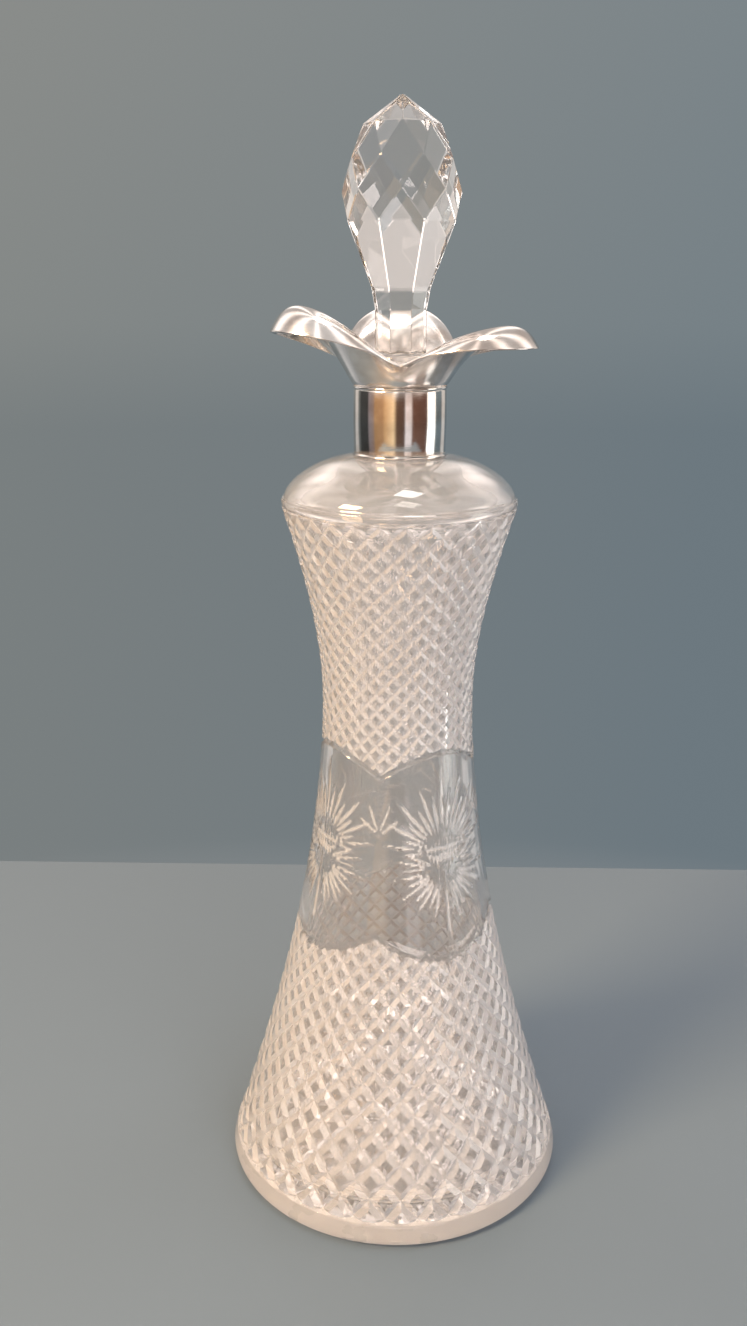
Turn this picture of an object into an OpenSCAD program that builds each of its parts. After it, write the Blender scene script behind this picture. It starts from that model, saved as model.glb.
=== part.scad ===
// Cut-glass wine decanter with a silver collar, a three-lobed silver pouring lip
// and a faceted glass stopper. Millimetres, +Z up, origin in the middle of the foot.

/* [Glass body] */
// Radius of the foot at its widest
foot_r = 58; // [54:0.5:62]
// Height of the foot's widest circle above the table
foot_z = 3; // [2.5:0.5:5]
// Radius of the flat ring that the foot rests on
rest_r = 55; // [50:0.5:56]
// Radius of the waist
waist_r = 24.7; // [22:0.1:28]
// Height of the waist
waist_z = 170; // [160:1:178]
// Radius of the shoulder
shoulder_r = 36.8; // [34:0.1:40]
// Height at which the flare meets the shoulder ring
shoulder_z = 231; // [228:0.5:232]
// Height of the polished ring round the shoulder
ring_h = 4; // [3:0.5:5]
// How far the dome steps in above the ring
ring_step = 0.8; // [0.4:0.1:1.2]
// Thickness of the glass wall
wall = 4; // [3.5:0.1:5]
// Thickness of the solid base
base_t = 9; // [7:0.5:14]
// Radius of the rounding between the floor and the wall inside
floor_fillet = 7; // [5:0.5:7]
// Depth of the hollow ground under the base
kick_h = 2; // [1:0.25:3]

/* [Neck and stopper fit] */
// Outer radius of the glass neck
neck_r = 13; // [12.5:0.1:13.2]
// Height of the glass mouth
mouth_z = 271; // [270.5:0.1:272]
// Radius of the ground peg at the mouth
peg_r = 9; // [8.5:0.1:9.4]
// Length of the ground peg
peg_len = 24; // [18:1:25]
// How much the peg's radius shrinks over its length
peg_taper = 1; // [0.5:0.1:1.5]
// Radial clearance between peg and bore
fit_gap = 0.06; // [0.03:0.01:0.1]

/* [Silver mount] */
// Outer radius of the collar
collar_r = 14.5; // [14.3:0.1:15]
// Height of the collar's lower edge
collar_z = 247.4; // [247.2:0.1:248]
// Height of the collar band
collar_h = 21.3; // [20:0.1:21.5]
// Thickness of the silver
silver_t = 0.8; // [0.6:0.1:1]
// Reach of a pouring lobe from the axis
lobe_r = 41; // [38:0.5:44]
// Height to which the lobes arch
lobe_top = 291.5; // [288:0.5:295]
// How much lower the right-hand lobe's edge is bent
lobe_droop = 4.5; // [0:0.5:6]
// Radius of the lip in the dips between lobes
dip_r = 19; // [18:0.5:21]
// Height of the dips between lobes
dip_z = 275; // [274:0.5:278]

/* [Stopper head] */
// Number of cut sides round the stopper
sides = 8; // [6:1:12]
// Radius of the head at its widest
head_r = 17.6; // [16:0.1:19]
// Height of the head's widest ring
head_z = 323.7; // [320:0.1:325]
// Overall height of the decanter
top_z = 350; // [348:0.5:354]
// Radius of the stopper's neck
stem_r = 8.3; // [7.8:0.1:8.6]

/* [Hidden] */
$fn = 96;

curve_steps = 20;
// Width of the flat resting ring, of the slope beside it and of the polished edges.
rest_w = 10;
slope_w = 4;
ring_edge = 0.6;
mouth_edge = 0.8;
// The stopper's stem starts just above the mouth, and a round flare joins it to the peg.
stem_z = mouth_z + 7;
flare_top = mouth_z + 8;
// How far below the widest ring the flutes start, the stem's hip sits and the girdle sits.
flute_h = 33;
hip_h = 26.7;
girdle_h = 8.5;
// How far above it the crown sits, and the height of the pyramid on top.
crown_h = 8.8;
cap_h = 8.2;
// How much wider than the stem the hip is, and how much narrower than the head the others are.
hip_out = 1.2;
girdle_in = 0.7;
crown_in = 1.9;
table_in = 6.2;
// Chamfer at the peg's lower end.
peg_edge = 0.8;
// Control points of the two outer curves, as [radius, height].
lower_curve = [[foot_r, foot_z], [foot_r - 3.5, 20], [waist_r, 96], [waist_r, waist_z]];
upper_curve = [[waist_r, waist_z], [waist_r, waist_z + 16], [28.5, 206], [shoulder_r, shoulder_z]];
ring_top = shoulder_z + ring_h;
dome_r = shoulder_r - ring_step;
dome_curve = [[dome_r, ring_top], [dome_r - 0.5, ring_top + 4.7], [25, collar_z], [neck_r, collar_z]];
floor_r = foot_r - wall - floor_fillet - 3;
cavity_top = mouth_z - peg_len - 1;
cavity_dome = [[shoulder_r - wall, shoulder_z], [shoulder_r - wall - 0.3, shoulder_z + 8],
               [peg_r + 9, cavity_top - 4], [peg_r - peg_taper + fit_gap, cavity_top]];
collar_inner_r = collar_r - silver_t;
plaster_gap = 0.02;
plaster_margin = 0.6;
collar_seat = 0.1;
lip_z = collar_z + collar_h;
lobe_count = 3;
lobe_turn = 360 / lobe_count;
back_lobe = 90;
right_lobe = back_lobe - lobe_turn;
lip_turns = 72;
lip_rise = 12;
// How sharply the lip folds in between two lobes, and how far the lobes' flanks stand up.
cusp = 1.4;
flank_h = 4;

// A point at t on the cubic curve with control points p.
function cubic(p, t) = pow(1 - t, 3) * p[0] + 3 * t * pow(1 - t, 2) * p[1]
    + 3 * t * t * (1 - t) * p[2] + pow(t, 3) * p[3];
// The curve as a list of points, without its first one.
function run(p, n = curve_steps) = [for (i = [1:n]) cubic(p, i / n)];
function flip(list) = [for (i = [len(list) - 1:-1:0]) list[i]];
// The same curve moved inwards by the wall's thickness.
function inward(list) = [for (q = list) [q[0] - wall, q[1]]];
function above(list, z) = [for (q = list) if (q[1] > z) q];

module glass_outline() {
    outside = concat([[0, kick_h], [rest_r - rest_w - slope_w, kick_h], [rest_r - rest_w, 0], [rest_r, 0]],
        [for (a = [-60:15:0]) [rest_r + (foot_r - rest_r) * cos(a), foot_z * (1 + sin(a))]],
        run(lower_curve), run(upper_curve),
        [[shoulder_r, ring_top - ring_edge], [dome_r, ring_top]], run(dome_curve),
        [[neck_r, mouth_z - mouth_edge], [neck_r - mouth_edge, mouth_z]]);
    inside = concat([[0, base_t]],
        [for (a = [-90:15:-15]) [floor_r + floor_fillet * cos(a), base_t + floor_fillet * (1 + sin(a))]],
        above(inward(run(lower_curve)), base_t + floor_fillet + 1), inward(run(upper_curve)),
        run(cavity_dome), [[peg_r + fit_gap, mouth_z]]);
    polygon(concat(outside, flip(inside)));
}

module decanter_body() {
    color([0.88, 0.86, 0.82, 0.5]) rotate_extrude() glass_outline();
}

module ring(r_out, r_in, z0, z1) {
    rotate_extrude() translate([r_in, z0]) square([r_out - r_in, z1 - z0]);
}

module neck_plaster() {
    color("ivory") ring(collar_inner_r - plaster_gap, neck_r + plaster_gap,
        collar_z + plaster_margin, lip_z - plaster_margin);
}

module collar() {
    color("silver") ring(collar_r, collar_inner_r, collar_z + collar_seat, lip_z);
}

// How far direction a belongs to a lobe: 1 along a lobe's middle and 0 in the cusp between two lobes.
function lobe_share(a) = pow(abs(sin(lobe_count / 2 * (a - back_lobe + lobe_turn / 2))), cusp);
// How far direction a belongs to the right-hand lobe, which is bent lower and further out.
function right_share(a) = pow((1 + cos(a - right_lobe)) / 2, 3);
function droop(a) = lobe_droop * right_share(a);
function lobe_curve(a) = [[collar_r, lip_z], [collar_r + 7, lip_z + 12],
    [lobe_r - 7.5 + 4 * right_share(a), lobe_top + 11.5 - 2 * droop(a)],
    [lobe_r + 2.5 * right_share(a), lobe_top - 7 - droop(a)]];
dip_curve = [[collar_r, lip_z], [collar_r + 0.6, lip_z + 2.5], [dip_r - 2.5, dip_z - 2.5], [dip_r, dip_z]];
// How much the edge is raised on a lobe's flanks.
function flank_rise(a, t) = flank_h * lobe_share(a) * (1 - lobe_share(a)) * t * t;
// The lip's outer surface at direction a and at t from the collar to the edge, as [radius, height].
function lip_at(a, t) = lobe_share(a) * cubic(lobe_curve(a), t)
    + (1 - lobe_share(a)) * cubic(dip_curve, t) + [0, flank_rise(a, t)];
// The lip's inner surface, one thickness of silver away along the section's own normal.
function lip_step(a, t) = lip_at(a, min(1, t + 0.01)) - lip_at(a, max(0, t - 0.01));
function lip_inner(a, t) = lip_at(a, t) + silver_t * [-lip_step(a, t)[1], lip_step(a, t)[0]]
    / norm(lip_step(a, t));
function around(q, a) = [q[0] * cos(a), q[0] * sin(a), q[1]];

module pouring_lip() {
    turns = [for (i = [0:lip_turns - 1]) 360 * i / lip_turns];
    rises = [for (j = [0:lip_rise]) j / lip_rise];
    section_len = 2 * (lip_rise + 1);
    points = [for (a = turns) each concat(
        [for (t = rises) around(lip_at(a, t), a)],
        [for (t = flip(rises)) around(t == 0 ? [collar_inner_r, lip_z] : lip_inner(a, t), a)])];
    faces = [for (i = [0:lip_turns - 1], j = [0:section_len - 1])
        let (here = i * section_len, next = ((i + 1) % lip_turns) * section_len, up = (j + 1) % section_len)
        each [[here + j, here + up, next + j], [next + j, here + up, next + up]]];
    color("silver") polyhedron(points, faces);
}

// One ring of the stopper's corners; an odd ring is turned by half a side.
function corner_ring(r, z, half) = [for (i = [0:sides - 1])
    around([r, z], (i + (half ? 0.5 : 0)) * 360 / sides)];

module stopper_head() {
    // Radius, height and half-turn of each ring of corners, from the stem to the top.
    rings = [[stem_r, stem_z, true], [stem_r, head_z - flute_h, true],
        [stem_r + hip_out, head_z - hip_h, true], [head_r - girdle_in, head_z - girdle_h, true],
        [head_r, head_z, false], [head_r - crown_in, head_z + crown_h, true],
        [head_r - table_in, top_z - cap_h, false]];
    corners = [for (q = rings) each corner_ring(q[0], q[1], q[2])];
    tip = len(corners);
    top_ring = (len(rings) - 1) * sides;
    foot_face = [for (i = [0:sides - 1]) i];
    // Between two rings at the same turn the sides are quads; at a half turn they are triangles.
    walls = [for (k = [0:len(rings) - 2], i = [0:sides - 1])
        let (low = k * sides, high = low + sides, j = (i + 1) % sides, same = rings[k][2] == rings[k + 1][2],
             shift = rings[k][2] ? 1 : 0)
        each same ? [[low + i, high + i, high + j], [low + i, high + j, low + j]]
            : shift == 1 ? [[low + i, high + j, low + j], [low + i, high + i, high + j]]
            : [[low + i, high + i, low + j], [low + j, high + i, high + j]]];
    caps = [for (i = [0:sides - 1]) [top_ring + i, tip, top_ring + (i + 1) % sides]];
    polyhedron(concat(corners, [[0, 0, top_z]]), concat([foot_face], walls, caps));
}

module stopper() {
    color([0.9, 0.88, 0.84, 0.5]) union() {
        stopper_head();
        rotate_extrude() polygon([[0, mouth_z - peg_len], [peg_r - peg_taper - peg_edge, mouth_z - peg_len],
            [peg_r - peg_taper, mouth_z - peg_len + peg_edge], [peg_r, mouth_z],
            [peg_r + 0.4, mouth_z + 2], [peg_r + 0.2, stem_z - 1], [stem_r - 1.2, flare_top],
            [0, flare_top]]);
    }
}

decanter_body();
neck_plaster();
collar();
pouring_lip();
stopper();
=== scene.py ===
# %% [markdown]
# # A cut-glass wine decanter with a silver mount
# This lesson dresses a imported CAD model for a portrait. The CAD model gives every piece its place and
# its size in metres, and the cells below add what a lathe, a cutting wheel and a polishing cloth add:
# diamonds, a clear engraved band, facets with softened edges and silver with fine wear.

# %% Load the frame
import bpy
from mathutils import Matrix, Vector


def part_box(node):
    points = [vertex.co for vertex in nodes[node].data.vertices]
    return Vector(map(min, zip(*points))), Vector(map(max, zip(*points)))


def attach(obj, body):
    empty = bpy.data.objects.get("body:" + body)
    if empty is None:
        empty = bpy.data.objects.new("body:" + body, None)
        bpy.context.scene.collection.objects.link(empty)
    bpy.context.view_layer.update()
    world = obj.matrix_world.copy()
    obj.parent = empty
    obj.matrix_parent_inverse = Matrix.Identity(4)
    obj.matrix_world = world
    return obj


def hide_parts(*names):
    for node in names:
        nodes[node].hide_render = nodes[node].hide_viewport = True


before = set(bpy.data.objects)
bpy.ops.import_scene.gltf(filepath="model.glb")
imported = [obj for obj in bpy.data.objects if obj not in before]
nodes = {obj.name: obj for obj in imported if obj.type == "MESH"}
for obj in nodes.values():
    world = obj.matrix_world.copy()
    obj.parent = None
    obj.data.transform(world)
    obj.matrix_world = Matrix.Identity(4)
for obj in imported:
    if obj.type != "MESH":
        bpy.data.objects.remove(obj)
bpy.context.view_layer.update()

# %% Tools for every cell
import math
import bmesh
import bpy
from mathutils import Matrix, Vector
from mathutils.geometry import interpolate_bezier

MM = 0.001
scene = bpy.context.scene
print("CAD nodes:", sorted(nodes))

# %% [markdown]
# ## Camera
# The view is from a little above, at the height of a standing person's chest when the decanter stands
# on a low table. The lens is wide and near, so the foot looks broader from above than the stopper.
# A tiny turn and roll keep the axis where a hand-held camera would have it.

# %% Place the camera
CAMERA_PLACE = (0, -0.3779, 0.2946)
TURN_LEFT, LOOK_DOWN, TILT = (math.radians(a) for a in (1.2, 16.84, 0.15))
camera_data = bpy.data.cameras.new("camera")
camera_data.sensor_fit = "VERTICAL"
camera_data.sensor_height = 36
camera_data.lens = 32.93
camera_data.clip_start = 0.01
camera = bpy.data.objects.new("camera", camera_data)
camera.matrix_world = (Matrix.Translation(CAMERA_PLACE) @ Matrix.Rotation(TURN_LEFT, 4, "Z")
                       @ Matrix.Rotation(math.pi / 2 - LOOK_DOWN, 4, "X") @ Matrix.Rotation(TILT, 4, "Z"))
scene.collection.objects.link(camera)
scene.camera = camera
print("camera looks down by", round(math.degrees(LOOK_DOWN), 2), "degrees")

# %% [markdown]
# ## The floor
# A plain pale floor carries the shadow. It ends a little behind the decanter, where the wall begins,
# and it is kept small because the collar and the lip mirror everything that lies in front of them.

# %% Make the floor
FLOOR_HALF_WIDTH, FLOOR_HALF_DEPTH = 0.50, 0.409
FLOOR_MIDDLE = (0, -0.191, -0.0002)
floor_mesh = bpy.data.meshes.new("floor")
bm = bmesh.new()
bmesh.ops.create_grid(bm, x_segments=1, y_segments=1, size=1)
bmesh.ops.scale(bm, vec=(FLOOR_HALF_WIDTH, FLOOR_HALF_DEPTH, 1), verts=bm.verts)
bmesh.ops.translate(bm, vec=FLOOR_MIDDLE, verts=bm.verts)
bm.to_mesh(floor_mesh)
bm.free()
floor = bpy.data.objects.new("floor", floor_mesh)
scene.collection.objects.link(floor)
floor_paint = bpy.data.materials.new("pale_floor")
floor_paint.use_nodes = True
shader = floor_paint.node_tree.nodes["Principled BSDF"]
shader.inputs["Base Color"].default_value = (0.106, 0.138, 0.168, 1)
shader.inputs["Roughness"].default_value = 0.55
floor_mesh.materials.append(floor_paint)
print("floor reaches", round(max(v.co.y for v in floor_mesh.vertices), 3), "m behind the decanter")

# %% [markdown]
# ## The room
# Glass and silver have hardly any colour of their own, so the room decides how they look. A picture of
# a room could surround the scene, but here a world shader paints one by direction, so nothing has to be
# loaded: a grey wall behind the decanter, a warm room behind the camera, and a few dark and bright
# uprights, like door frames and windows, for the silver to mirror.

# %% Start the room
world = bpy.data.worlds.new("room")
scene.world = world
world.use_nodes = True
room = world.node_tree
room.nodes.clear()
direction = room.nodes.new("ShaderNodeTexCoord")
# The radial gradient runs once round the axis: 0 is towards -X, 0.25 towards -Y, where the camera
# stands, 0.5 towards +X and 0.75 towards +Y, the wall.
around = room.nodes.new("ShaderNodeTexGradient")
around.gradient_type = "RADIAL"
room.links.new(direction.outputs["Generated"], around.inputs[0])
# The height runs from 0 straight down to 1 straight up.
split = room.nodes.new("ShaderNodeSeparateXYZ")
height = room.nodes.new("ShaderNodeMapRange")
height.inputs["From Min"].default_value = -1
room.links.new(direction.outputs["Generated"], split.inputs[0])
room.links.new(split.outputs["Z"], height.inputs["Value"])
print("directions:", around.name, "and", height.name)

# %% Helpers for ramps and mixes


def ramp(tree, stops, source):
    """A colour ramp with the given (position, colour) stops, read by the source socket."""
    node = tree.nodes.new("ShaderNodeValToRGB")
    elements = node.color_ramp.elements
    while len(elements) > 1:
        elements.remove(elements[-1])
    for i, (place, colour) in enumerate(stops):
        element = elements[0] if i == 0 else elements.new(place)
        element.position = place
        element.color = (*colour, 1)
    tree.links.new(source, node.inputs[0])
    return node


def mix_in(first, second, share, blend="MIX"):
    """Mixes two colours of the room; share, second and first are sockets or plain values."""
    node = room.nodes.new("ShaderNodeMix")
    node.data_type = "RGBA"
    node.blend_type = blend
    for name, value in (("A", first), ("B", second), ("Factor", share)):
        if isinstance(value, bpy.types.NodeSocket):
            room.links.new(value, node.inputs[name])
        else:
            node.inputs[name].default_value = value
    return node.outputs["Result"]


print("helpers:", ramp.__name__, mix_in.__name__)

# %% Paint the uprights
WALL_LEFT, WALL_RIGHT = (0.235, 0.245, 0.240), (0.185, 0.218, 0.238)
GLOW, BLACK = (0.7, 0.65, 0.62), (0.05, 0.05, 0.05)
uprights = ramp(room, [
    (0.000, BLACK), (0.010, BLACK), (0.020, (0.30, 0.25, 0.26)),
    (0.060, (0.34, 0.24, 0.20)), (0.070, (0.50, 0.28, 0.14)), (0.130, (0.55, 0.30, 0.15)),
    (0.150, (0.85, 0.50, 0.25)), (0.205, (1.2, 0.82, 0.48)), (0.228, (0.16, 0.09, 0.06)),
    (0.280, (0.14, 0.08, 0.06)), (0.290, (1.1, 0.95, 0.93)), (0.326, (1.0, 0.86, 0.84)),
    (0.338, (0.20, 0.10, 0.07)), (0.445, (0.16, 0.08, 0.06)), (0.456, (3.0, 2.9, 2.8)),
    (0.510, (2.8, 2.7, 2.6)), (0.528, WALL_RIGHT), (0.590, WALL_RIGHT), (0.605, GLOW),
    (0.645, GLOW), (0.660, WALL_RIGHT), (0.710, WALL_RIGHT), (0.800, WALL_LEFT),
    (0.845, WALL_LEFT), (0.860, GLOW), (0.895, GLOW), (0.910, WALL_LEFT),
    (0.940, (0.06, 0.06, 0.06))], around.outputs["Fac"])
# The wall is darker and cooler near the floor.
shade = ramp(room, [(0.45, (0.82, 0.87, 0.90)), (0.49, (0.99, 1.01, 1.01)), (0.60, (1.09, 1.08, 1.06))],
             height.outputs["Result"])
walls = mix_in(uprights.outputs["Color"], shade.outputs["Color"], 1, "MULTIPLY")
print("uprights:", len(uprights.color_ramp.elements), "stops")

# %% Add the ceiling and the ground
# Bright panes in a dim ceiling give the facets something to flash with.
DIM, LIT = (0.60, 0.56, 0.54), (2.2, 2.0, 1.9)
ceiling = ramp(room, [(0.000, DIM), (0.075, LIT), (0.120, DIM), (0.190, DIM), (0.215, LIT), (0.245, DIM),
                      (0.330, DIM), (0.390, LIT), (0.450, DIM), (0.510, DIM), (0.565, LIT), (0.620, DIM),
                      (0.690, DIM), (0.715, LIT), (0.740, DIM), (0.765, DIM), (0.785, LIT), (0.810, DIM),
                      (0.850, DIM), (0.905, LIT), (0.960, DIM), (1.000, DIM)], around.outputs["Fac"])
GROUND = (0.34, 0.345, 0.35, 1)
to_ceiling = ramp(room, [(0.0, (0, 0, 0)), (0.61, (0, 0, 0)), (0.69, (1, 1, 1))], height.outputs["Result"])
to_ground = ramp(room, [(0.0, (1, 1, 1)), (0.22, (1, 1, 1)), (0.29, (0, 0, 0))], height.outputs["Result"])
upper_room = mix_in(walls, ceiling.outputs["Color"], to_ceiling.outputs["Color"])
whole_room = mix_in(upper_room, GROUND, to_ground.outputs["Color"])
background = room.nodes.new("ShaderNodeBackground")
sky = room.nodes.new("ShaderNodeOutputWorld")
room.links.new(whole_room, background.inputs["Color"])
room.links.new(background.outputs[0], sky.inputs["Surface"])
print("ceiling:", len(ceiling.color_ramp.elements), "stops; room strength",
      background.inputs["Strength"].default_value)

# %% [markdown]
# ## Lamps
# Three soft boxes add to the room. The warm key lamp high on the left throws the shadow to the right,
# the wide fill lamp in front lights the upright glass evenly, and the small top lamp picks out rims.
# The fill is hidden from mirrors, because a big pale square in the collar would spoil its stripes.

# %% Hang the lamps


def soft_lamp(name, place, aim, size, power, colour):
    """A square soft box at place, facing aim."""
    data = bpy.data.lights.new(name, "AREA")
    data.size = size
    data.energy = power
    data.color = colour
    lamp = bpy.data.objects.new(name, data)
    lamp.location = place
    lamp.rotation_euler = (Vector(aim) - Vector(place)).to_track_quat("-Z", "Y").to_euler()
    scene.collection.objects.link(lamp)
    return lamp


soft_lamp("key", (-0.85, -0.62, 0.95), (0, 0, 0.1), 0.42, 31, (1, 0.69, 0.40))
fill = soft_lamp("fill", (0.50, -1.25, 0.42), (0, 0, 0.17), 0.80, 15, (1, 0.92, 0.90))
fill.visible_glossy = False
soft_lamp("top", (0.10, -0.05, 1.3), (0, 0, 0.2), 0.25, 2.5, (1, 0.96, 0.92))

# %% Settings that the looks need
scene.view_settings.view_transform = "Standard"
scene.cycles.max_bounces = 24
scene.cycles.transmission_bounces = 20
scene.cycles.glossy_bounces = 8
scene.cycles.diffuse_bounces = 3
scene.cycles.use_denoising = True
scene.cycles.sample_clamp_indirect = 6
print("light may bounce", scene.cycles.max_bounces, "times")

# %% [markdown]
# ## Crystal finishes
# Polished crystal is a transmitting shader with the index of lead glass. Real crystal is never perfect:
# a slow, very shallow wave left by the polishing disturbs it, and a faint haze of wear changes its
# roughness. The engraving, the stopper's peg and the ring under the foot are the same glass with a
# matt, sandy skin. Cut glass looks bright because every facet catches another lamp or window. This room
# has only a few of them, so each finish also scatters a small share of the light, the most where the
# cuts are finest.

# %% Mix the crystal
FINE_DEPTH = 0.0002


def glass(name, haze, grit, grit_size, clear, tint):
    """Glass: mean roughness, bump, grain in metres, share of light that passes, and tint."""
    material = bpy.data.materials.new(name)
    material.use_nodes = True
    tree = material.node_tree
    shader = tree.nodes["Principled BSDF"]
    shader.inputs["Base Color"].default_value = (*tint, 1)
    shader.inputs["IOR"].default_value = 1.55
    shader.inputs["Transmission Weight"].default_value = clear
    place = tree.nodes.new("ShaderNodeTexCoord")
    wear = tree.nodes.new("ShaderNodeTexNoise")
    wear.inputs["Scale"].default_value = 60
    wear.inputs["Detail"].default_value = 5
    spread = tree.nodes.new("ShaderNodeMapRange")
    spread.inputs["To Min"].default_value = haze * 0.4
    spread.inputs["To Max"].default_value = haze * 1.6
    skin = tree.nodes.new("ShaderNodeTexNoise")
    skin.inputs["Scale"].default_value = 1 / grit_size
    skin.inputs["Detail"].default_value = 3
    bump = tree.nodes.new("ShaderNodeBump")
    bump.inputs["Strength"].default_value = grit
    bump.inputs["Distance"].default_value = FINE_DEPTH
    tree.links.new(place.outputs["Object"], wear.inputs["Vector"])
    tree.links.new(place.outputs["Object"], skin.inputs["Vector"])
    tree.links.new(wear.outputs["Fac"], spread.inputs["Value"])
    tree.links.new(spread.outputs["Result"], shader.inputs["Roughness"])
    tree.links.new(skin.outputs["Fac"], bump.inputs["Height"])
    tree.links.new(bump.outputs["Normal"], shader.inputs["Normal"])
    return material


worn = glass("worn_crystal", 0.02, 0.12, 0.012, 0.92, (0.99, 0.96, 0.94))
diamonds = glass("diamond_crystal", 0.012, 0.06, 0.004, 0.785, (0.99, 0.965, 0.955))
engraved = glass("engraved_crystal", 0.20, 0.5, 0.0006, 0.78, (0.99, 0.97, 0.95))
ground = glass("ground_crystal", 0.30, 0.4, 0.0004, 0.45, (0.99, 0.97, 0.95))
flats = glass("flat_crystal", 0.02, 0.06, 0.004, 0.92, (0.99, 0.96, 0.94))
window = glass("window_crystal", 0.015, 0.12, 0.012, 0.975, (0.99, 0.97, 0.95))
body_finishes = [worn, diamonds, engraved, ground, flats, window]
# A face without an index of its own keeps 0, the worn crystal.
CUT, ENGRAVED, MATT, FLAT, WINDOW = range(1, 6)
print("glass finishes:", [finish.name for finish in body_finishes])

# %% [markdown]
# ## The glass body's outline
# The body is turned, so everything starts from one outline of radius and height: a bell that sweeps in
# from the foot to a narrow waist, and a flare that opens to the shoulder. Two smooth cubic curves
# describe it with the same control points as the CAD outline.

# %% Draw the outline


def sweep(points, count):
    """Points on a cubic curve through control points given in millimetres."""
    corners = [Vector((r * MM, z * MM)) for r, z in points]
    return [tuple(p) for p in interpolate_bezier(*corners, count)]


BELL = [(58, 3), (54.5, 20), (24.7, 96), (24.7, 170)]
FLARE = [(24.7, 170), (24.7, 186), (28.5, 206), (36.8, 231)]
outline = sweep(BELL, 400) + sweep(FLARE, 300)[1:]


def radius_at(z):
    """The outline's radius at height z."""
    low, high = 0, len(outline) - 1
    while high - low > 1:
        middle = (low + high) // 2
        low, high = (middle, high) if outline[middle][1] <= z else (low, middle)
    (r0, z0), (r1, z1) = outline[low], outline[high]
    return r0 + (r1 - r0) * (z - z0) / (z1 - z0)


def put_in_order(bm):
    """Sorts edges and faces by their corners. A spin leaves them in a new order each run."""
    bm.verts.index_update()
    count = len(bm.verts)

    def place(part):
        first, second, *others = sorted(corner.index for corner in part.verts)
        return (first * count + second) * count + (others or [0])[-1]

    for parts in (bm.edges, bm.faces):
        parts.sort(key=place)
        parts.index_update()


def turned(points, steps, angle=2 * math.pi):
    """Spins (radius, height) points round the axis."""
    bm = bmesh.new()
    corners = [bm.verts.new((r, 0, z)) for r, z in points]
    edges = [bm.edges.new(pair) for pair in zip(corners, corners[1:])]
    bmesh.ops.spin(bm, geom=corners + edges, cent=(0, 0, 0), axis=(0, 0, 1), dvec=(0, 0, 0),
                   angle=angle, steps=steps, use_merge=angle > 6, use_duplicate=False)
    bmesh.ops.remove_doubles(bm, verts=bm.verts, dist=1e-6)
    put_in_order(bm)
    return bm


def set_radius(corner, radius):
    """Moves a corner straight out from the axis, to that radius."""
    now = math.hypot(corner.co.x, corner.co.y)
    corner.co.x *= radius / now
    corner.co.y *= radius / now


# %% [markdown]
# ## Diamond cutting
# A glass cutter holds the body against a V-edged wheel and cuts slanting grooves one way round, then
# the other way. What is left between them is a pyramid with a small flat top. A turned grid gives the
# same lattice: a poke puts a corner in the middle of each cell, and dissolving the old edges leaves
# diamonds. All their corners lie at the bottom of a groove. A second poke raises each diamond's
# point, and a vertex bevel takes the point off. The flat tops are what is left of the blown skin, so
# they are clearer than the cut flanks.

# %% Cut a zone of diamonds
LOWER_COLUMNS, UPPER_COLUMNS = 33, 29
DEPTH_SHARE, FLAT_PERCENT = 0.13, 50


def row_heights(start, stop):
    """Heights of the rows of diamonds, each about as tall as the lattice is wide."""
    heights = [start]
    while heights[-1] < stop:
        width = 2 * math.pi * radius_at(heights[-1]) / ((LOWER_COLUMNS + UPPER_COLUMNS) / 2)
        heights.append(heights[-1] + 0.0014 + 0.85 * width)
    return heights


def diamond_zone(columns, start, stop):
    """A turned zone covered with flat-topped pyramids."""
    rows = row_heights(start, stop)
    deep = DEPTH_SHARE * 2 * math.pi / columns
    bm = turned([(radius_at(z), z) for z in rows], columns)
    old_edges = list(bm.edges)
    bmesh.ops.poke(bm, faces=bm.faces[:], center_mode="MEAN")
    bmesh.ops.dissolve_edges(bm, edges=[e for e in old_edges if len(e.link_faces) == 2])
    for corner in bm.verts:
        r = radius_at(corner.co.z)
        set_radius(corner, r * (1 - deep))
    points = bmesh.ops.poke(bm, faces=bm.faces[:], center_mode="MEAN")["verts"]
    for point in points:
        set_radius(point, radius_at(point.co.z) * (1 + FLAT_PERCENT / 100 * deep))
    for face in bm.faces:
        face.material_index = CUT
    tops = bmesh.ops.bevel(bm, geom=points, offset=FLAT_PERCENT, offset_type="PERCENT",
                           affect="VERTICES", segments=1, profile=0.5, material=-1)["faces"]
    for face in tops:
        face.material_index = FLAT
    print(f"diamonds: {columns} round, {len(rows) - 1} rows, {len(bm.faces)} faces")
    return bm


lower_zone = diamond_zone(LOWER_COLUMNS, 3.5 * MM, 106 * MM)
upper_zone = diamond_zone(UPPER_COLUMNS, 140 * MM, 234.5 * MM)

# %% [markdown]
# ## The scalloped edges
# Four clear medallions go round the body below the waist. Their arched edges are where a tilted plane
# meets the bell, one plane for each medallion above and below, so cutting planes trim the diamonds
# exactly along the arches. A gap is left there for the mitre groove.

# %% Trim the zones
MEDALLIONS = [math.radians(a) for a in (33, 123, 213, 303)]
GAP = 0.0011
RING_LOW, FOOT_TOP = 231.7 * MM, 8.4 * MM


def arch(apex, tilt_share, shift, side):
    """The plane that cuts an arch over (side +1) or under (side -1) the medallion on +X."""
    return Vector((radius_at(apex), 0, apex + shift)), Vector((-side * tilt_share, 0, 1)).normalized()


def trim(bm, place, slope, turn_to, keep_above):
    """Cuts the mesh with a plane turned about the axis and drops one side."""
    turn = Matrix.Rotation(turn_to, 3, "Z")
    bmesh.ops.bisect_plane(bm, geom=bm.verts[:] + bm.edges[:] + bm.faces[:], dist=1e-6,
                           plane_co=turn @ place, plane_no=turn @ slope,
                           clear_inner=keep_above, clear_outer=not keep_above)


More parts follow.
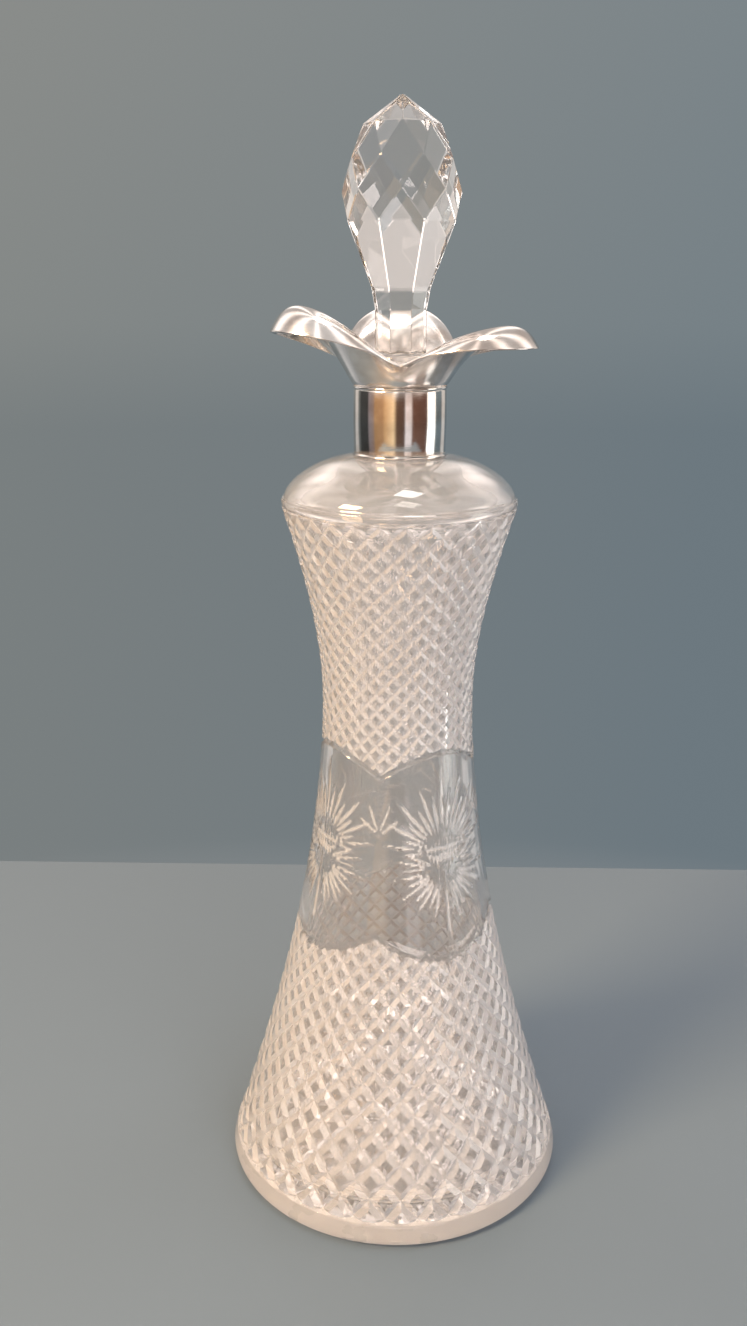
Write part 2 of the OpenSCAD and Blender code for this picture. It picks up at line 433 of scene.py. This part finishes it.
TOP_ARCH = (0.1573, 1.06)
LOW_ARCH = (0.0893, 0.76)
for turn_to in MEDALLIONS:
    trim(upper_zone, *arch(*TOP_ARCH, GAP, 1), turn_to, True)
    trim(lower_zone, *arch(*LOW_ARCH, -GAP, -1), turn_to, False)
trim(upper_zone, Vector((0, 0, RING_LOW)), Vector((0, 0, 1)), 0, False)
trim(lower_zone, Vector((0, 0, FOOT_TOP)), Vector((0, 0, 1)), 0, True)
print("upper zone", len(upper_zone.faces), "faces, lower zone", len(lower_zone.faces), "faces")

# %% [markdown]
# ## The engraved band
# Between the arches the glass is left smooth and carries wheel-engraved thistles. An engraver lays
# pointed cuts side by side: each is a shallow boat-shaped furrow. The quarter band is a fine turned
# grid, its corners sink where a furrow passes, and faces that sank get the matt finish. Three turned
# copies complete the ring.

# %% Lay out one thistle
# Each furrow is (start, end, half width, depth) in mm. A place is how far across from the medallion's
# middle it lies, and its height.
MIDDLE, CUP = 125, 118


def petals():
    """Long thin cuts that fan out over the flower's head, every other one shorter."""
    cuts = []
    for i in range(19):
        lean = math.radians(-90 + 10 * i)
        long = 25 - 6 * abs(math.sin(lean)) + (2.5 if i % 2 else -4)
        cuts.append(((7 * math.sin(lean), MIDDLE + 6 * math.cos(lean)),
                     (long * math.sin(lean), MIDDLE + long * math.cos(lean)), 0.7, 0.42))
    return cuts


def head_and_stem():
    """The ribbed cup of the flower, the line across it and the stem."""
    cuts = []
    for i in range(9):
        across = -6.4 + 1.6 * i
        low = CUP + 0.10 * across * across
        cuts.append(((across * 0.8, low), (across, 131.5 - 0.07 * across * across), 0.5, 0.38))
    return cuts + [((-8, 126), (8, 126), 0.5, 0.35), ((0, 93), (0, 119), 0.7, 0.4)]


def leaves(side):
    """Spiky leaves on one side of the stem, and a small spray above them."""
    cuts = []
    for i in range(10):
        lean = math.radians(62 + 11 * i)
        long = 19 - 0.5 * abs(i - 3) + (1.5 if i % 2 else -2)
        cuts.append(((side * 5 * math.sin(lean), 119 + 4 * math.cos(lean)),
                     (side * long * math.sin(lean), CUP + long * math.cos(lean)), 0.65, 0.4))
    for i in range(5):
        lean = math.radians(28 * i - 52)
        reach = 15 * (1 - 0.15 * abs(i - 2))
        cuts.append(((side * (21.5 + math.sin(lean)), 131 + math.cos(lean)),
                     (side * (21.5 + reach * math.sin(lean)), 131 + reach * math.cos(lean)), 0.55, 0.35))
    return cuts


thistle = petals() + head_and_stem() + leaves(-1) + leaves(1)
print("one thistle takes", len(thistle), "furrows")

# %% Measure a furrow


def furrow_depth(across, up, furrow):
    """How deep one furrow is at a point, in mm."""
    (x0, z0), (x1, z1), half, deep = furrow
    dx, dz = x1 - x0, z1 - z0
    along = ((across - x0) * dx + (up - z0) * dz) / (dx * dx + dz * dz)
    if not 0 < along < 1:
        return 0
    off = abs((across - x0) * dz - (up - z0) * dx) / math.hypot(dx, dz)
    wide = half * math.sin(math.pi * along ** 0.8)
    return deep * (1 - off / wide) if off < wide else 0


stem = head_and_stem()[-1]
print("the stem is", round(furrow_depth(0, 106, stem), 2), "mm deep in its middle")

# %% Turn and engrave the band
ROW = 0.0006
band = turned([(radius_at(z * ROW), z * ROW) for z in range(136, 276)], 96, math.pi / 2)
bmesh.ops.rotate(band, cent=(0, 0, 0), matrix=Matrix.Rotation(-math.pi / 4, 3, "Z"), verts=band.verts)
trim(band, *arch(*TOP_ARCH, -GAP, 1), 0, False)
trim(band, *arch(*LOW_ARCH, GAP, -1), 0, True)
sunk = set()
for corner in band.verts:
    r = math.hypot(corner.co.x, corner.co.y)
    across = math.atan2(corner.co.y, corner.co.x) * r / MM
    depth = max(furrow_depth(across, corner.co.z / MM, furrow) for furrow in thistle)
    if depth > 0 and not corner.is_boundary:
        set_radius(corner, r - depth * MM)
        sunk.add(corner)
for face in band.faces:
    face.smooth = True
    face.material_index = ENGRAVED if sum(v in sunk for v in face.verts) > 2 else WINDOW
band_mesh = bpy.data.meshes.new("band")
band.to_mesh(band_mesh)
band.free()
print("band quarter:", len(band_mesh.polygons), "faces,", len(sunk), "corners engraved")

# %% [markdown]
# ## Foot, shoulder, neck and the inside
# The rest is plain turning. The foot is polished and stands on a flat ring round a shallow hollow. At
# the shoulder a polished ring stops the diamonds, and a smooth dome runs up to the neck. Going on over
# the mouth, the same outline turns back down the bore and along the inside of the wall to the floor.

# %% Turn the foot
STAR_RAYS = 24
STAR_REACH = 41 * MM


def rounded(centre_r, centre_z, radius, angles):
    """Points on an arc of the outline, at angles in degrees."""
    return [(centre_r + radius * math.cos(math.radians(a)), centre_z + radius * math.sin(math.radians(a)))
            for a in angles]


foot_outline = [(r * STAR_REACH / 10, 0.002) for r in range(11)]
foot_outline += [(0.045, 0.0001), (0.046, 0), (0.0545, 0)]
foot_outline += rounded(0.055, 0.003, 0.003, range(-90, 1, 15))
foot_outline += [(radius_at(z * 0.0005), z * 0.0005) for z in range(7, 17)]
foot = turned(foot_outline, STAR_RAYS * 6)
print("foot:", len(foot.faces), "faces")

# %% Cut the star and grind the ring
# Underneath is a star of grooves of one slope that run together in the middle and widen outwards.
STAR_SLOPE = 0.047
for corner in foot.verts:
    r = math.hypot(corner.co.x, corner.co.y)
    if corner.co.z < 0.0021 and 0.001 < r < STAR_REACH - 0.0005:
        ray = math.atan2(corner.co.y, corner.co.x) / (2 * math.pi) * STAR_RAYS
        corner.co.z += STAR_SLOPE * r * (1 - 2 * abs(ray - round(ray)))
for face in foot.faces:
    middle = face.calc_center_median()
    r = math.hypot(middle.x, middle.y)
    face.smooth = r >= STAR_REACH
    if STAR_REACH <= r < 0.0535 and middle.z < 0.0004:
        face.material_index = MATT
print("ground faces:", sum(face.material_index == MATT for face in foot.faces))

# %% Turn the shoulder, the neck and the inside
DOME = [(36, 235), (35.5, 239.7), (25, 247.4), (13, 247.4)]
INNER_DOME = [(32.8, 231), (32.5, 239), (18, 242), (8.06, 246)]
WALL_THICK = 0.004
ring = [(0.0361, 0.2321), (0.0365, 0.2323), (0.0368, 0.2327), (0.0368, 0.2343), (0.0365, 0.2347),
        (0.0360, 0.2349)]
neck = [(0.0134, 0.2474), (0.013, 0.2479), (0.013, 0.255), (0.013, 0.2702), (0.0128, 0.2706),
        (0.0125, 0.2709), (0.0122, 0.271)]
bore = [(0.0095, 0.271), (0.00906, 0.2707), (0.0088, 0.262), (0.0085, 0.254)]
inside = sweep(INNER_DOME, 24)[::-1]
inside += [(r - WALL_THICK, z) for r, z in sweep(FLARE, 20)[::-1][1:]]
inside += [(r - WALL_THICK, z) for r, z in sweep(BELL, 48)[::-1][1:] if z > 0.0175]
inside += rounded(0.044, 0.016, 0.007, range(-15, -91, -15))
inside += [(0.030, 0.009), (0.015, 0.009), (0, 0.009)]
top = turned(ring + sweep(DOME, 24)[1:-1] + neck + bore + inside, 128)
for face in top.faces:
    face.smooth = True
print("shoulder, neck and inside:", len(top.faces), "faces")

# %% [markdown]
# ## Joining the glass
# The zones become one closed skin. Each pair of rims that face each other is bridged, and along the
# arches the bridge is split once and its middle pressed in, which is the mitre groove.

# %% Gather the zones
body = bmesh.new()
for part in (lower_zone, upper_zone, foot, top):
    holder = bpy.data.meshes.new("holder")
    part.to_mesh(holder)
    part.free()
    body.from_mesh(holder)
    bpy.data.meshes.remove(holder)
for turn_to in MEDALLIONS:
    quarter = band_mesh.copy()
    quarter.transform(Matrix.Rotation(turn_to, 4, "Z"))
    body.from_mesh(quarter)
    bpy.data.meshes.remove(quarter)
bmesh.ops.remove_doubles(body, verts=body.verts, dist=2e-5)
put_in_order(body)
bpy.data.meshes.remove(band_mesh)
print("body so far:", len(body.faces), "faces")

# %% Find the open rims


def open_rims(bm):
    """The open edges as closed rims, the lowest first."""
    left = dict.fromkeys(edge for edge in bm.edges if edge.is_boundary)
    found = []
    while left:
        stack, rim = [left.popitem()[0]], []
        while stack:
            edge = stack.pop()
            rim.append(edge)
            for corner in edge.verts:
                for other in corner.link_edges:
                    if other in left:
                        del left[other]
                        stack.append(other)
        found.append(rim)
    return sorted(found, key=lambda rim: sum(e.verts[0].co.z for e in rim) / len(rim))


rims = open_rims(body)
print("rims at", [(round(sum(e.verts[0].co.z for e in rim) / len(rim) / MM, 1), len(rim)) for rim in rims])

# %% Bridge the rims and press in the mitre grooves
for lower, upper, groove in ((0, 1, 0), (2, 3, 0.0013), (4, 5, 0.0011), (6, 7, 0)):
    pair = rims[lower] + rims[upper]
    made = bmesh.ops.bridge_loops(body, edges=pair)
    if groove:
        rungs = [edge for edge in made["edges"] if edge not in set(pair)]
        cut = bmesh.ops.subdivide_edges(body, edges=rungs, cuts=1)
        for corner in cut["geom_inner"]:
            if isinstance(corner, bmesh.types.BMVert):
                set_radius(corner, math.hypot(corner.co.x, corner.co.y) - groove)
bmesh.ops.recalc_face_normals(body, faces=body.faces)
print("open edges left:", sum(edge.is_boundary for edge in body.edges))

# %% Hand over the body


def keep_piece(bm, name, materials, body, stands_for):
    """Makes the bmesh an object that rides on a body and stands for one CAD node."""
    mesh = bpy.data.meshes.new(name)
    bm.to_mesh(mesh)
    bm.free()
    for material in materials:
        mesh.materials.append(material)
    piece = bpy.data.objects.new(name, mesh)
    scene.collection.objects.link(piece)
    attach(piece, body)
    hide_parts(stands_for)
    triangles = sum(len(face.vertices) - 2 for face in mesh.polygons)
    print(f"{name}: {len(mesh.vertices)} corners, {triangles} triangles")
    return piece


keep_piece(body, "cut_glass_body", body_finishes, "decanter", "decanter_body")

# %% [markdown]
# ## The stopper
# The stopper is solid crystal, cut and polished on a flat wheel. Its shape is already exact in the CAD
# model, so a merged copy keeps every facet. Flat faces are joined again where they lie in one plane,
# and a hair-fine bevel gives each edge the line of light that a polished edge has.

# %% Soften the stopper's facets
PEG_TOP, STEM_LOW = 271.2 * MM, 278.5 * MM
EDGE_WIDTH = 0.22 * MM


def merged_copy(node):
    """A bmesh of a CAD node with shared corners."""
    bm = bmesh.new()
    bm.from_mesh(nodes[node].data)
    bmesh.ops.remove_doubles(bm, verts=bm.verts, dist=2e-6)
    return bm


stopper = merged_copy("stopper")
bmesh.ops.dissolve_limit(stopper, angle_limit=math.radians(0.5), use_dissolve_boundaries=False,
                         verts=stopper.verts, edges=stopper.edges)
facet_edges = [e for e in stopper.edges if min(v.co.z for v in e.verts) > STEM_LOW
               and e.is_manifold and e.calc_face_angle(0) > math.radians(3)]
bmesh.ops.bevel(stopper, geom=facet_edges, offset=EDGE_WIDTH, offset_type="OFFSET", affect="EDGES",
                segments=1, profile=0.5, material=-1, clamp_overlap=True)
for face in stopper.faces:
    centre = face.calc_center_median()
    face.material_index = 1 if centre.z < PEG_TOP else 0
    face.smooth = centre.z < STEM_LOW
print("stopper facets:", sum(f.calc_center_median().z > STEM_LOW for f in stopper.faces))
keep_piece(stopper, "cut_glass_stopper", [window, ground], "stopper", "stopper")

# %% [markdown]
# ## Silver
# Old silver is bright but never a perfect mirror. Handling leaves fine scratches that all run about
# the same way round, and a slow wave stays from the hammer. Random clouds of a darker, browner tone
# are partly tarnish and partly painted shade, standing in for the brownish reflection of the room.

# %% Mix the silver
# Share of the base colour kept in the darker clouds: partly tarnish, partly painted shade for the room's
# brownish reflection.
TARNISH_AND_PAINTED_SHADE = (0.70, 0.64, 0.60)


def silver(name, base, haze):
    """A worn polished silver."""
    material = bpy.data.materials.new(name)
    material.use_nodes = True
    tree = material.node_tree
    shader = tree.nodes["Principled BSDF"]
    shader.inputs["Metallic"].default_value = 1
    place = tree.nodes.new("ShaderNodeTexCoord")
    cloud = tree.nodes.new("ShaderNodeTexNoise")
    cloud.inputs["Scale"].default_value = 90
    cloud.inputs["Detail"].default_value = 6
    # The darker clouds are partly tarnish and partly painted shade, the brownish room reflection painted
    # into the colour.
    tarnish_and_shade_tone = tuple(c * share for c, share in zip(base, TARNISH_AND_PAINTED_SHADE))
    tone = ramp(tree, [(0.34, tarnish_and_shade_tone), (0.60, base)], cloud.outputs["Fac"])
    squeeze = tree.nodes.new("ShaderNodeMapping")
    squeeze.inputs["Scale"].default_value = (1, 1, 14)
    hair = tree.nodes.new("ShaderNodeTexNoise")
    hair.inputs["Scale"].default_value = 260
    hair.inputs["Detail"].default_value = 8
    spread = tree.nodes.new("ShaderNodeMapRange")
    spread.inputs["To Min"].default_value = haze * 0.5
    spread.inputs["To Max"].default_value = haze * 1.8
    wave = tree.nodes.new("ShaderNodeTexNoise")
    wave.inputs["Scale"].default_value = 55
    wave.inputs["Detail"].default_value = 1
    fine = tree.nodes.new("ShaderNodeBump")
    fine.inputs["Strength"].default_value = 0.05
    fine.inputs["Distance"].default_value = FINE_DEPTH
    broad = tree.nodes.new("ShaderNodeBump")
    broad.inputs["Strength"].default_value = 0.14
    broad.inputs["Distance"].default_value = 0.0008
    for noise in (cloud, wave):
        tree.links.new(place.outputs["Object"], noise.inputs["Vector"])
    tree.links.new(place.outputs["Object"], squeeze.inputs["Vector"])
    tree.links.new(squeeze.outputs["Vector"], hair.inputs["Vector"])
    tree.links.new(tone.outputs["Color"], shader.inputs["Base Color"])
    tree.links.new(hair.outputs["Fac"], spread.inputs["Value"])
    tree.links.new(spread.outputs["Result"], shader.inputs["Roughness"])
    tree.links.new(wave.outputs["Fac"], broad.inputs["Height"])
    tree.links.new(hair.outputs["Fac"], fine.inputs["Height"])
    tree.links.new(broad.outputs["Normal"], fine.inputs["Normal"])
    tree.links.new(fine.outputs["Normal"], shader.inputs["Normal"])
    return material


collar_silver = silver("collar_silver", (0.90, 0.87, 0.83), 0.09)
lip_silver = silver("lip_silver", (0.91, 0.88, 0.85), 0.13)
print("silver finishes:", collar_silver.name, lip_silver.name)

# %% [markdown]
# ## The collar
# The collar is a strip of silver bent to a ring, with a fine bead turned at each edge. It hides the
# plaster that fixes it to the neck. One turned outline makes it, beads and all.

# %% Turn the collar
BEAD = 0.45 * MM
low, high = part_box("collar")
inner = high.x - 0.0008
half_turn = (-60, -30, 0, 30, 60)
sides = [(inner, low.z), (high.x - BEAD, low.z)]
sides += rounded(high.x - BEAD, low.z + BEAD, BEAD, half_turn)
sides += [(high.x - 0.00042, low.z + 0.0011), (high.x - 0.0003, low.z + 0.0014),
          (high.x - 0.00022, low.z + 0.010), (high.x - 0.0003, high.z - 0.0014),
          (high.x - 0.00042, high.z - 0.0011)]
sides += rounded(high.x - BEAD, high.z - BEAD, BEAD, half_turn)
sides += [(high.x - BEAD, high.z), (inner, high.z), (inner, low.z)]
collar = turned(sides, 128)
bmesh.ops.recalc_face_normals(collar, faces=collar.faces)
for face in collar.faces:
    face.smooth = True
for edge in collar.edges:
    edge.smooth = edge.calc_face_angle(0) < math.radians(40)
keep_piece(collar, "beaded_collar", [collar_silver], "decanter", "collar")

# %% [markdown]
# ## The pouring lip
# The lip is raised from sheet silver: a funnel that rolls over into three broad lobes, folded sharply
# between them. A merged copy of the CAD lip is turned back into four-sided faces, its thin edge is
# rounded, and one level of subdivision smooths the sheet.

# %% Smooth the lip
RIM_LOW = 272.5 * MM
lip = merged_copy("pouring_lip")
bmesh.ops.join_triangles(lip, faces=lip.faces, angle_face_threshold=math.radians(40),
                         angle_shape_threshold=math.radians(70))
rim_edges = [e for e in lip.edges if e.is_manifold and e.calc_face_angle(0) > math.radians(50)
             and min(v.co.z for v in e.verts) > RIM_LOW]
bmesh.ops.bevel(lip, geom=rim_edges, offset=EDGE_WIDTH, offset_type="OFFSET", affect="EDGES",
                segments=2, profile=0.5, material=-1, clamp_overlap=True)
for face in lip.faces:
    face.smooth = True
print("lip:", len(rim_edges), "rim edges rounded,", len(lip.faces), "faces")
silver_lip = keep_piece(lip, "silver_pouring_lip", [lip_silver], "decanter", "pouring_lip")
smooth = silver_lip.modifiers.new("smooth", "SUBSURF")
smooth.levels = smooth.render_levels = 1

# %% [markdown]
# ## Plaster
# A thin ring of plaster of Paris beds the collar on the neck. Little of it shows, through the glass and
# in the joint under the collar, so its CAD shape stays and only gets a chalky, speckled finish.

# %% Mix the plaster
plaster = bpy.data.materials.new("old_plaster")
plaster.use_nodes = True
tree = plaster.node_tree
shader = tree.nodes["Principled BSDF"]
place = tree.nodes.new("ShaderNodeTexCoord")
speck = tree.nodes.new("ShaderNodeTexNoise")
speck.inputs["Scale"].default_value = 700
speck.inputs["Detail"].default_value = 6
tone = ramp(tree, [(0.35, (0.50, 0.44, 0.35)), (0.65, (0.72, 0.68, 0.60))], speck.outputs["Fac"])
grain = tree.nodes.new("ShaderNodeBump")
grain.inputs["Strength"].default_value = 0.5
grain.inputs["Distance"].default_value = FINE_DEPTH
tree.links.new(place.outputs["Object"], speck.inputs["Vector"])
tree.links.new(tone.outputs["Color"], shader.inputs["Base Color"])
tree.links.new(speck.outputs["Fac"], grain.inputs["Height"])
tree.links.new(grain.outputs["Normal"], shader.inputs["Normal"])
shader.inputs["Roughness"].default_value = 0.9
bedding = nodes["neck_plaster"]
bedding.data.materials.clear()
bedding.data.materials.append(plaster)
print("plaster on", bedding.name)
